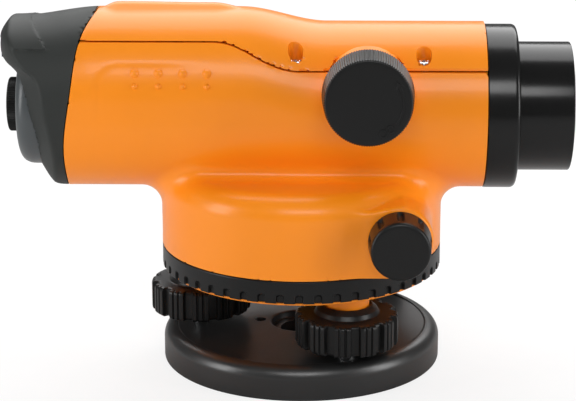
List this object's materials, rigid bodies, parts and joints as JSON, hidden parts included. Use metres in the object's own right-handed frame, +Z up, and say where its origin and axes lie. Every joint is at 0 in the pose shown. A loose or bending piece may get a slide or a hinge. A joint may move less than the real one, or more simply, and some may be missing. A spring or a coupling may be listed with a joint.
{
  "type": "automatic level",
  "caption": "Surveyor's automatic level: telescope with focus knob and hanging compensator, turning on a drum with slow motion and a notched circle, on a three-screw levelling base.",
  "frame": {"origin": "middle of the bounding box's underside, on the plane that rests on the tripod head; the vertical axis stands at x = +5.385 mm", "axes": "+Z up, parallel to the vertical axis; +X along the line of sight towards the objective; the focus knob is on the -Y side"},
  "size_m": [0.1998, 0.117, 0.1298],
  "materials": {
    "orange_paint": "satin orange paint on cast aluminium",
    "black_cast": "satin black enamel on cast aluminium",
    "black_metal": "satin black anodised",
    "black_plastic": "moulded, fine matt texture",
    "grip_plastic": "soft-touch dark grey, fine grain",
    "grey_plastic": "semi-gloss grey",
    "steel": "turned and ground",
    "chrome": "bright plated screw heads",
    "brass": "turned",
    "copper": "sheet copper",
    "aluminium": "machined, anodised",
    "glass": "polished, coated",
    "mirror": "front-silvered glass"
  },
  "bodies": {
    "base": {"base_plate": "black_cast", "spring_plate": "steel", "tribrach": "orange_paint"},
    "foot_screw_front": {"foot_screw_front": "steel", "foot_knob_front": "black_plastic"},
    "foot_screw_rear": {"foot_screw_rear": "steel", "foot_knob_rear": "black_plastic"},
    "foot_screw_left": {"foot_screw_left": "steel", "foot_knob_left": "black_plastic"},
    "circle": {"circle_ring": "black_plastic", "circle_scale": "aluminium"},
    "clutch": {"worm_wheel": "brass"},
    "alidade": {"axis_spindle": "steel", "axis_nut": "brass", "circle_window": "glass", "slow_bush_near": "brass", "slow_bush_far": "brass", "housing": "orange_paint", "top_cover": "orange_paint", "eyepiece_cover": "grip_plastic", "hood_window": "glass", "cover_screw_rear_near": "chrome", "cover_screw_rear_far": "chrome", "cover_screw_front_near": "chrome", "cover_screw_front_far": "chrome", "eyepiece_bezel": "grey_plastic", "objective_collar": "black_metal", "objective_tube": "black_metal", "objective_retainer": "black_metal", "objective_flint": "glass", "objective_crown": "glass", "focus_bush": "brass", "guide_rod_near": "steel", "guide_rod_far": "steel", "compensator_frame": "aluminium", "fixed_prism_front": "glass", "fixed_prism_rear": "glass", "damping_magnet": "steel", "suspension_front": "steel", "suspension_rear": "steel", "reticle_frame": "black_metal", "reticle_glass": "glass", "bubble_cup": "brass", "bubble_vial": "glass", "bubble_mirror": "mirror"},
    "slow_motion": {"worm_shaft": "steel", "slow_knob_near": "black_plastic", "slow_knob_far": "black_plastic"},
    "focus_drive": {"focus_knob": "black_plastic", "focus_pinion": "steel"},
    "carriage": {"focus_carriage": "aluminium", "focus_lens": "glass"},
    "eyepiece": {"eyepiece_barrel": "aluminium", "eye_lens": "glass", "field_lens": "glass"},
    "eyepiece_grip": {"eyepiece_ring": "black_plastic"},
    "pendulum": {"pendulum_arm": "aluminium", "pendulum_prism": "glass", "damping_plate": "copper"}
  },
  "joints": [
    {"name": "foot_screw_front_turn", "type": "hinge", "parent": "base", "child": "foot_screw_front", "pos_m": [0.0217, -0.03287, 0.021], "axis": [0, 0, 1], "range_deg": [-1440, 1440]},
    {"name": "foot_screw_rear_turn", "type": "hinge", "parent": "base", "child": "foot_screw_rear", "pos_m": [0.02569, 0.03057, 0.021], "axis": [0, 0, 1], "range_deg": [-1440, 1440]},
    {"name": "foot_screw_left_turn", "type": "hinge", "parent": "base", "child": "foot_screw_left", "pos_m": [-0.03124, 0.0023, 0.021], "axis": [0, 0, 1], "range_deg": [-1440, 1440]},
    {"name": "circle_turn", "type": "hinge", "parent": "base", "child": "circle", "pos_m": [0.00539, 0, 0.04], "axis": [0, 0, 1], "continuous": true},
    {"name": "coarse_turn", "type": "hinge", "parent": "base", "child": "clutch", "pos_m": [0.00539, 0, 0.0567], "axis": [0, 0, 1], "continuous": true},
    {"name": "fine_turn", "type": "hinge", "parent": "clutch", "child": "alidade", "pos_m": [0.00539, 0, 0.0567], "axis": [0, 0, 1], "continuous": true},
    {"name": "slow_motion_turn", "type": "hinge", "parent": "alidade", "child": "slow_motion", "pos_m": [0.03939, 0, 0.0568], "axis": [0, 1, 0], "continuous": true},
    {"name": "focus_turn", "type": "hinge", "parent": "alidade", "child": "focus_drive", "pos_m": [0.02839, -0.04, 0.1049], "axis": [0, 1, 0], "range_deg": [-360, 360]},
    {"name": "focus_slide", "type": "slide", "parent": "alidade", "child": "carriage", "axis": [-1, 0, 0], "range_m": [-0.01256, 0.01256]},
    {"name": "eyepiece_slide", "type": "slide", "parent": "alidade", "child": "eyepiece", "axis": [-1, 0, 0], "range_m": [-0.00199, 0.00199]},
    {"name": "eyepiece_turn", "type": "hinge", "parent": "eyepiece", "child": "eyepiece_grip", "pos_m": [-0.09761, 0, 0.0928], "axis": [1, 0, 0], "range_deg": [-150, 150]},
    {"name": "pendulum_swing", "type": "hinge", "parent": "alidade", "child": "pendulum", "pos_m": [-0.02961, 0, 0.1112], "axis": [0, 1, 0], "range_deg": [-0.5, 0.5]}
  ],
  "couplings": [
    {"joint": "slow_motion_turn", "follows": "fine_turn", "ratio": 72},
    {"joint": "focus_turn", "follows": "focus_slide", "rad_per_m": 500},
    {"joint": "eyepiece_turn", "follows": "eyepiece_slide", "rad_per_m": 1310}
  ]
}
